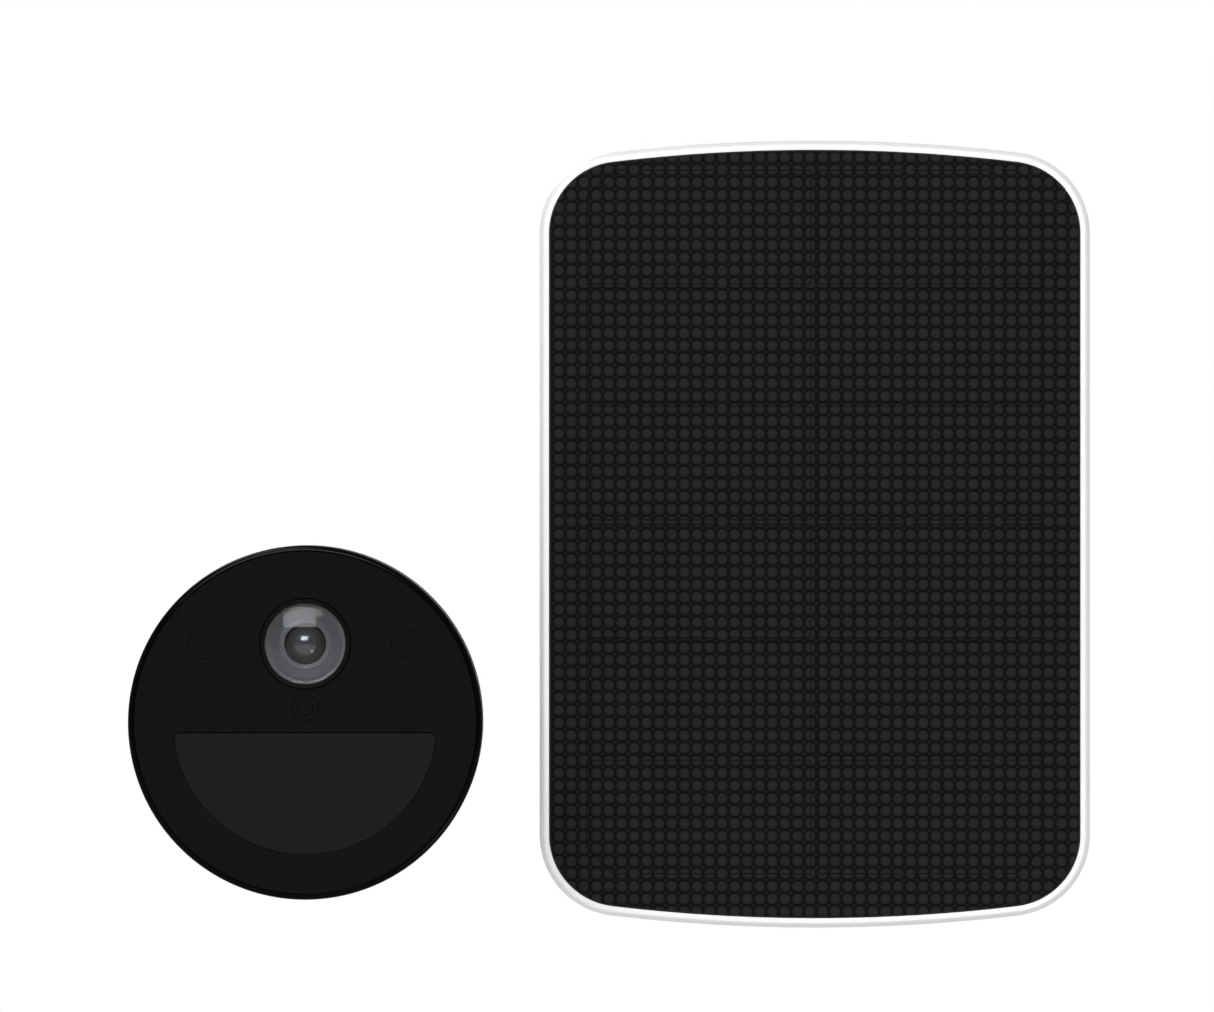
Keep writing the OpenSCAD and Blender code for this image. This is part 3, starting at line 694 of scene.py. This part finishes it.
class CameraLook(bpy.types.PropertyGroup):
    rim_round: length("Rim rounding", "Radius of the rim's front edge", 1.15)
    rim_colour: colour("Rim colour", "Polished front rim", (0.0012, 0.0012, 0.0012))
    body_colour: colour("Body colour", "Housing and covers", (0.012, 0.012, 0.0125))
    face_colour: colour("Face colour", "Front window plate", (0.0048, 0.0048, 0.0048))
    motion_colour: colour("Motion window colour", "Window over the motion sensor", (0.0088, 0.0088, 0.0088))
    mount_colour: colour("Mount colour", "Camera's wall mount", (0.016, 0.016, 0.0165))
    element_colour: colour("Lens element colour", "Coated front element", (0.045, 0.045, 0.047))
    barrel_colour: colour("Barrel colour", "Inside of the lens barrel", (0.118, 0.118, 0.12))


class PanelLook(bpy.types.PropertyGroup):
    corner_r: length("Corner radius", "Outline's corner radius", 18.5)
    crown_r: length("Crown radius", "Radius of the bowed ends", 392.0)
    corner_steps: count("Corner steps", "Segments in a corner", 20)
    crown_steps: count("Crown steps", "Segments in half a bowed end", 14)
    rim_w: length("Rim width", "White rim in front", 2.14)
    bead_w: length("Bead width", "Black bead round the sheet", 0.3)
    dome_pitch: length("Dome pitch", "Distance between domes", 2.865)
    dome_r: length("Dome radius", "Radius of a dome", 1.13)
    dome_h: length("Dome height", "Height of a dome", 0.2)
    dot_r: length("Dot radius", "Radius of a dot between domes", 0.3)
    groove_w: length("Groove width", "Dark line between domes", 0.3)
    dome_x: number("Dome column", "A column of domes, mm from the axis", 114.44)
    dome_z: number("Dome row", "A row of domes, mm from the axis", 45.27)
    line_w: length("Cell edge width", "Dark line round a cell", 0.26)
    cell_rows: count("Cell rows", "Rows of cells", 6)
    cell_gap_x: length("Column gap", "Between the two columns", 1.9)
    cell_gap_y: length("Row gap", "Between rows of cells", 1.0)
    cell_cut: length("Corner cut", "Cut across the outer corners", 5.9)
    ribbon_in: length("Inner ribbon", "From the middle", 20.8)
    ribbon_out: length("Outer ribbon", "From the middle", 41.2)
    ribbon_w: length("Ribbon width", "Where it crosses a gap", 2.4)
    colour: colour("White", "Frame and mount", (0.9, 0.9, 0.895))


class StageLook(bpy.types.PropertyGroup):
    view_w: length("View width", "Width seen at the panel", 276.7)
    focal: length("Focal length", "Camera's focal length", 1200.0)
    floor_drop: length("Floor drop", "Floor below the axis", 250.0)
    room_light: number("Room light", "Light from all round", 0.42)
    front_light: number("Front light", "Light from straight ahead", 0.12)


def looks():
    scene = bpy.context.scene
    return scene.solar_camera_look, scene.solar_panel_look, scene.solar_stage_look


# ---------- pieces ----------


def settle(piece, body, slot, *replaced):
    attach(piece, body)
    if replaced:
        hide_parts(*replaced)
    return piece


class SOLARCAM_OT_finishes(bpy.types.Operator):
    """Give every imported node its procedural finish"""

    bl_idname = "solarcam.finishes"
    bl_label = "Node finishes"

    def execute(self, context):
        cam, panel, _ = looks()
        makers = {
            "powder_coat": lambda: powder_coat(cam.mount_colour),
            "spark_plastic": lambda: spark_plastic(cam.body_colour),
            "dark_window": lambda: dark_window(cam.face_colour),
            "motion_window": lambda: motion_window(cam.motion_colour),
            "satin_white": lambda: satin_white(panel.colour),
            "plated_steel": plated_steel, "turned_brass": turned_brass,
            "moulded_black": moulded_black,
            "soft_rubber": soft_rubber, "tinted_filter": tinted_filter, "solder_mask": solder_mask,
            "rolled_aluminium": rolled_aluminium, "shrink_sleeve": shrink_sleeve,
            "dark_silicon": dark_silicon, "tinned_strip": tinned_strip,
        }
        for name, nodes in FINISH_OF_NODE.items():
            material = makers[name]()
            for node in nodes:
                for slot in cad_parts[node].material_slots:
                    slot.material = material
        return {"FINISHED"}


class SOLARCAM_OT_rim(bpy.types.Operator):
    """Make the polished rim round the camera's face"""

    bl_idname = "solarcam.rim"
    bl_label = "Front rim"

    def execute(self, context):
        cam, _, _ = looks()
        r, front, back, seam = CAMERA_R, CAMERA_FRONT, BEZEL_BACK, 0.25
        seat, bore, joint = FACE_FRONT - 2.4, CAMERA_R - 1.2, CAMERA_FRONT - 10
        edge = cam.rim_round
        profile = [(r - 2.2, joint), (r - seam, joint), (r, joint + seam)]
        profile += quarter(r - edge, front - edge, edge, 0, 90, 10)
        profile += quarter(bore + 0.12, front - 0.12, 0.12, 90, 180, 3)
        profile += [(bore, seat), (r - 3.7, seat), (r - 3.7, seat - 2.2), (r - 3, joint), (r - 3, back),
                    (r - 2.2, back)]
        rim = lathe("front_rim", profile, Vector((0, 0, 0)), [gloss_rim(cam.rim_colour)], 256, closed=True)
        settle(rim, "camera", "gloss_black", "front_bezel")
        return {"FINISHED"}


class SOLARCAM_OT_lens(bpy.types.Operator):
    """Make the lens: trim ring, domed glass, stepped barrel and coated elements"""

    bl_idname = "solarcam.lens"
    bl_label = "Lens"

    def execute(self, context):
        cam, _, _ = looks()
        front, r, trim_r = FACE_FRONT, LENS_R, TRIM_R
        trim = [(trim_r, front - 2.8), (trim_r, front - 0.35), (trim_r - 0.2, front - 0.1)]
        trim += [(r + 0.12, front - 0.05), (r + 0.05, front - 0.2), (r + 0.05, front - 2.8)]
        finish = dark_window([c * 0.8 for c in cam.face_colour])
        finish.name = "trim_black"
        piece = lathe("lens_trim_ring", trim, LENS, [finish], closed=True)
        settle(piece, "camera", "gloss_black", "lens_trim")

        cap = dome(r, front - 1.15, CAMERA_FRONT - 0.05, 14)
        under = [(x, y - 1.1) for x, y in dome(r - 0.1, front - 1.15, CAMERA_FRONT - 0.1, 14)]
        glass = lathe("lens_glass", cap + under[::-1], LENS, [clear_glass()])
        settle(glass, "camera", "lens_glass", "lens_cover")

        barrel = [(r - 0.05, front - 2.45), (r - 0.75, front - 2.45), (r - 0.9, front - 2.85),
                  (r - 1.1, front - 2.85), (r - 1.15, front - 2.6), (6.15, front - 4.0), (6.05, front - 4.4),
                  (5.9, front - 4.4), (5.8, front - 4.1), (4.75, front - 4.6), (4.65, front - 5.6),
                  (4.65, front - 15.6), (8.7, front - 15.6), (8.7, front - 3.5), (r - 0.05, front - 3.4)]
        rings = lathe("lens_barrel_rings", barrel, LENS, [barrel_rings(cam.barrel_colour)], closed=True)
        settle(rings, "camera", "inner_plastic", "lens_barrel")

        bm = bmesh.new()
        core = 4.6
        fore = dome(core, front - 6.9, front - 4.6, 14) + [(core, front - 8), (0, front - 8)]
        lathe_into(bm, fore, LENS, 96)
        rear = [(0, front - 13), (core, front - 13), (core, front - 14.8), (0, front - 14.8)]
        lathe_into(bm, rear, LENS, 96)
        elements = new_object("coated_elements", bm, [coated_element(cam.element_colour)])
        settle(elements, "camera", "lens_glass", "lens_elements")
        return {"FINISHED"}


class SOLARCAM_OT_sensors(bpy.types.Operator):
    """Make the light sensor's window and the microphone's ring in the face"""

    bl_idname = "solarcam.sensors"
    bl_label = "Face sensors"

    def execute(self, context):
        cam, _, _ = looks()
        front = FACE_FRONT
        low, high = node_box("light_pipe")
        middle, r, core = (low + high) / 2, (high.x - low.x) / 2, 1.8
        cap = [(0, front), (core - 0.08, front), (core, front - 0.12), (core + 0.08, front - 0.12),
               (core + 0.16, front), (r - 0.06, front), (r, front - 0.08), (r, front - 3), (core, front - 3),
               (core, front - 8.6), (0, front - 8.6)]
        finish = dark_window(cam.face_colour)
        finish.name = "sensor_window"
        settle(lathe("light_sensor_cap", cap, middle, [finish], 96), "camera", "face", "light_pipe")

        hole = node_centre("mic_boot")
        collar = [(0, front + 0.02), (0.6, front + 0.02), (0.6, front - 0.04), (0.66, front - 0.04),
                  (0.66, front + 0.02), (1.4, front + 0.02), (1.4, front - 0.1),
                  (0.55, front - 0.6), (0, front - 0.6)]
        piece = lathe("microphone_ring", collar, hole, [finish], 64)
        settle(piece, "camera", "face")
        return {"FINISHED"}


class SOLARCAM_OT_surround(bpy.types.Operator):
    """Make the white frame round the panel, with its rounded outer edge"""

    bl_idname = "solarcam.surround"
    bl_label = "Panel frame"

    def execute(self, context):
        _, panel, _ = looks()
        front, back, rim = PANEL_FRONT, PANEL_FRAME_BACK, panel.rim_w
        profile = [(0.2, back), (0, back + 0.2)]
        profile += [(0, front - 1.9), (0.08, front - 1.55), (0.72, front - 0.5)]
        profile += [(1.35 - x, front - 0.6 + y) for x, y in quarter(0, 0, 0.6, 30, 90, 4)]
        profile += [(rim - 0.2 + x, front - 0.2 + y) for x, y in quarter(0, 0, 0.2, 90, 0, 4)]
        profile += [(rim, back)]
        bm = bmesh.new()
        sweep_into(bm, panel, profile, closed=True)
        piece = new_object("panel_surround", bm, [satin_white(panel.colour)])
        settle(piece, "panel", "white_plastic", "panel_frame")
        return {"FINISHED"}


class SOLARCAM_OT_back(bpy.types.Operator):
    """Make the panel's back cover, its screw recesses and the cable outlet"""

    bl_idname = "solarcam.back"
    bl_label = "Panel back"

    def execute(self, context):
        _, panel, _ = looks()
        wall, back = PANEL_FRAME_BACK, PANEL_FRAME_BACK - 2
        head_r, recess_r, recess_depth = 2.7, 2.9, 1.2
        insert_r, insert_depth = 5.0, 1.9
        low, high = PANEL_SCREWS
        sx, sy = (high.x - low.x) / 2 - head_r, (high.z - low.z) / 2 - head_r
        screws = [(x, y) for x in (-sx, sx) for y in (-sy, 0, sy)]
        bm = bmesh.new()
        edge = [(1.8 - x, back + 1.8 - y) for x, y in quarter(0, 0, 1.8, 0, 90, 8)]
        profile = [(2.0, wall), (0.2, wall), (0, wall - 0.2)] + edge[1:]
        rings = sweep_into(bm, panel, profile)
        circles = [(x, y, recess_r) for x, y in screws] + [(0, 0, insert_r)]
        sockets = holes_in_flat(bm, rings[-1], circles, back)
        depths = [recess_depth] * len(screws) + [insert_depth]
        for ring, depth in zip(sockets, depths):
            floor = [bm.verts.new(v.co - Vector((0, depth, 0)) * MM) for v in ring]
            bridge(bm, ring, floor)
            bm.faces.new(floor)
        bm.faces.new(rings[0])
        finish = satin_white(panel.colour)
        settle(new_object("panel_back_shell", bm, [finish]), "panel", "white_plastic", "panel_back_cover")

        lip = OUTLET_BACK
        collar = [(2, back + 7), (2, lip + 0.3), (2.3, lip), (4.2, lip), (4.5, lip + 0.3), (4.5, lip + 0.7),
                  (5.0, lip + 0.8), (5.0, lip + 1.3), (5.5, lip + 1.4), (6.1, back - 0.1), (6.1, back + 0.1),
                  (4.3, back + 0.3), (4.3, back + 7)]
        piece = lathe("cable_collar", collar, OUTLET, [finish], 72, closed=True)
        settle(piece, "panel", "white_plastic", "cable_gland")
        return {"FINISHED"}


class SOLARCAM_OT_sheet(bpy.types.Operator):
    """Make the embossed front sheet: its flat, its domes and the dots between them"""

    bl_idname = "solarcam.sheet"
    bl_label = "Front sheet"

    def execute(self, context):
        _, panel, _ = looks()
        finish = embossed_sheet(panel)
        gap, front, back = panel.rim_w + 0.02, SHEET_FRONT, SHEET_BACK
        bm = bmesh.new()
        rings = sweep_into(bm, panel, [(gap, back), (gap, front)])
        bm.faces.new(rings[0])
        bm.faces.new(rings[-1])
        settle(new_object("sheet_flat", bm, [finish]), "panel", "textured_sheet", "front_sheet")

        bead, top = panel.bead_w, front + panel.dome_h + 0.04
        bm = bmesh.new()
        sweep_into(bm, panel, [(gap, front - 0.2), (gap, top), (gap + bead, top), (gap + bead, front - 0.2)],
                   closed=True)
        settle(new_object("sheet_bead", bm, [soft_rubber()]), "panel", "rubber")

        tree = raised_dots_tree()
        kinds = {
            "sheet_domes": (0.0, panel.dome_r, panel.dome_r * 0.72, panel.dome_h, 12),
            "sheet_dots": (0.5, panel.dot_r, panel.dot_r * 0.6, panel.dome_h * 0.45, 6),
        }
        for name, (offset, radius, crown, height, sides) in kinds.items():
            points = self.grid(panel, offset)
            values = {"Radius": radius * MM, "Crown Radius": crown * MM, "Height": height * MM,
                      "Sides": sides, "Finish": finish}
            settle(grown(name, points, tree, values), "panel", "textured_sheet")
        return {"FINISHED"}

    def grid(self, panel, offset):
        """Every lattice point in the frame's opening; a button at its edge runs in under the frame."""
        pitch, margin = panel.dome_pitch, 0.1
        first_x = panel.dome_x + offset * pitch - PANEL.x
        first_z = panel.dome_z + offset * pitch - PANEL.z
        reach = [range(math.ceil((-half - first) / pitch), math.floor((half - first) / pitch) + 1)
                 for half, first in ((PANEL_W / 2, first_x), (PANEL_H / 2, first_z))]
        spots = [(first_x + i * pitch, first_z + j * pitch) for i in reach[0] for j in reach[1]]
        return [on_panel(x, y, SHEET_FRONT - 0.01) for x, y in spots if inside_outline(panel, x, y, margin)]


class SOLARCAM_OT_stage(bpy.types.Operator):
    """Set the floor, the soft lights and the camera"""

    bl_idname = "solarcam.stage"
    bl_label = "Stage"

    def execute(self, context):
        _, _, stage = looks()
        self.floor(stage)
        self.room(stage)
        self.softbox("key_above", (-250, -2750, 1230), (1500, 1000), 56.0)
        self.softbox("key_sliver", (640, -2700, 1420), (240, 380), 2.5)
        self.softbox("side_left", (-2400, -600, -100), (1000, 1400), 8.5).visible_glossy = False
        self.softbox("side_right", (2500, -600, 100), (1000, 1400), 7.0).visible_glossy = False
        self.softbox("strip_above", (-700, -500, 2500), (3000, 700), 58.0).visible_diffuse = False
        self.softbox("strip_low_right", (240, -370, -190), (220, 70), 0.25).visible_diffuse = False
        self.softbox("back_above", (-900, 2200, 1500), (1400, 1000), 22.0)
        lens = bpy.data.cameras.new("front_view")
        lens.lens = stage.focal
        lens.clip_start, lens.clip_end = 0.1, 100
        view = bpy.data.objects.new("front_view", lens)
        bpy.context.scene.collection.objects.link(view)
        away = stage.view_w * stage.focal / lens.sensor_width
        across, up = 68.15, 48.9
        view.location = Vector((across, -(PANEL_FRONT + away), up)) * MM
        view.rotation_euler = (math.pi / 2, 0, 0)
        scene = bpy.context.scene
        scene.camera = view
        scene.view_settings.view_transform = "Standard"
        return {"FINISHED"}

    def floor(self, stage):
        bm = bmesh.new()
        profile = [(0, 0), (2900, 0), (2980, -4), (3000, -20), (0, -20)]
        turn = Matrix.Rotation(math.pi / 2, 4, "X")
        lathe_into(bm, profile, Vector((0, 0, 0)), 96)
        bm.transform(Matrix.Translation((0, 0, -stage.floor_drop * MM)) @ turn)
        f = Finish("pale_floor", Specular_IOR_Level=0.2)
        f.paint(f.blend(f.noise(3.0), (0.8, 0.8, 0.8), (0.84, 0.84, 0.84)), f.spread(f.noise(40), 0.6, 0.75))
        new_object("floor", bm, [f.material])

    def room(self, stage):
        """White to the eye, softer as a light, and dim straight ahead."""
        world = bpy.data.worlds.new("white_room")
        bpy.context.scene.world = world
        world.use_nodes = True
        tree = world.node_tree
        sky, out = tree.nodes["Background"], tree.nodes["World Output"]
        sky.inputs["Color"].default_value = (1, 1, 1, 1)
        towards, parts, dim = (tree.nodes.new(k) for k in
                               ("ShaderNodeTexCoord", "ShaderNodeSeparateXYZ", "ShaderNodeMapRange"))
        dim.interpolation_type = "SMOOTHSTEP"
        for name, value in {"From Min": -1.0, "From Max": -0.6, "To Min": stage.front_light,
                            "To Max": stage.room_light}.items():
            dim.inputs[name].default_value = value
        tree.links.new(towards.outputs["Generated"], parts.inputs[0])
        tree.links.new(parts.outputs["Y"], dim.inputs["Value"])
        tree.links.new(dim.outputs["Result"], sky.inputs["Strength"])
        seen, path, mix = (tree.nodes.new(k) for k in
                           ("ShaderNodeBackground", "ShaderNodeLightPath", "ShaderNodeMixShader"))
        seen.inputs["Color"].default_value = (1, 1, 1, 1)
        tree.links.new(path.outputs["Is Camera Ray"], mix.inputs[0])
        tree.links.new(sky.outputs[0], mix.inputs[1])
        tree.links.new(seen.outputs[0], mix.inputs[2])
        tree.links.new(mix.outputs[0], out.inputs[0])

    def softbox(self, name, spot, size, watts):
        lamp = bpy.data.lights.new(name, "AREA")
        lamp.shape = "RECTANGLE"
        lamp.size, lamp.size_y = size[0] * MM, size[1] * MM
        lamp.energy = watts
        made = bpy.data.objects.new(name, lamp)
        made.location = Vector(spot) * MM
        target = Vector((60, -100, 20)) * MM
        made.rotation_euler = (target - made.location).to_track_quat("-Z", "Y").to_euler()
        made.visible_camera = False
        bpy.context.scene.collection.objects.link(made)
        return made


STEPS = (SOLARCAM_OT_stage, SOLARCAM_OT_finishes, SOLARCAM_OT_rim, SOLARCAM_OT_lens, SOLARCAM_OT_sensors,
         SOLARCAM_OT_surround, SOLARCAM_OT_back, SOLARCAM_OT_sheet)


class SOLARCAM_PT_panel(bpy.types.Panel):
    """Lists the pieces in the 3D view's sidebar"""

    bl_idname = "SOLARCAM_PT_panel"
    bl_label = "Solar Camera"
    bl_space_type = "VIEW_3D"
    bl_region_type = "UI"
    bl_category = "Solar Camera"

    def draw(self, context):
        for step in STEPS:
            self.layout.operator(step.bl_idname)


LOOKS = {"solar_camera_look": CameraLook, "solar_panel_look": PanelLook, "solar_stage_look": StageLook}


def register():
    for cls in (*LOOKS.values(), *STEPS, SOLARCAM_PT_panel):
        bpy.utils.register_class(cls)
    for name, group in LOOKS.items():
        setattr(bpy.types.Scene, name, bpy.props.PointerProperty(type=group))


def unregister():
    for name in LOOKS:
        delattr(bpy.types.Scene, name)
    for cls in reversed((*LOOKS.values(), *STEPS, SOLARCAM_PT_panel)):
        bpy.utils.unregister_class(cls)


def main():
    register()
    for step in STEPS:
        area, name = step.bl_idname.split(".")
        getattr(getattr(bpy.ops, area), name)()


if __name__ == "__main__":
    main()
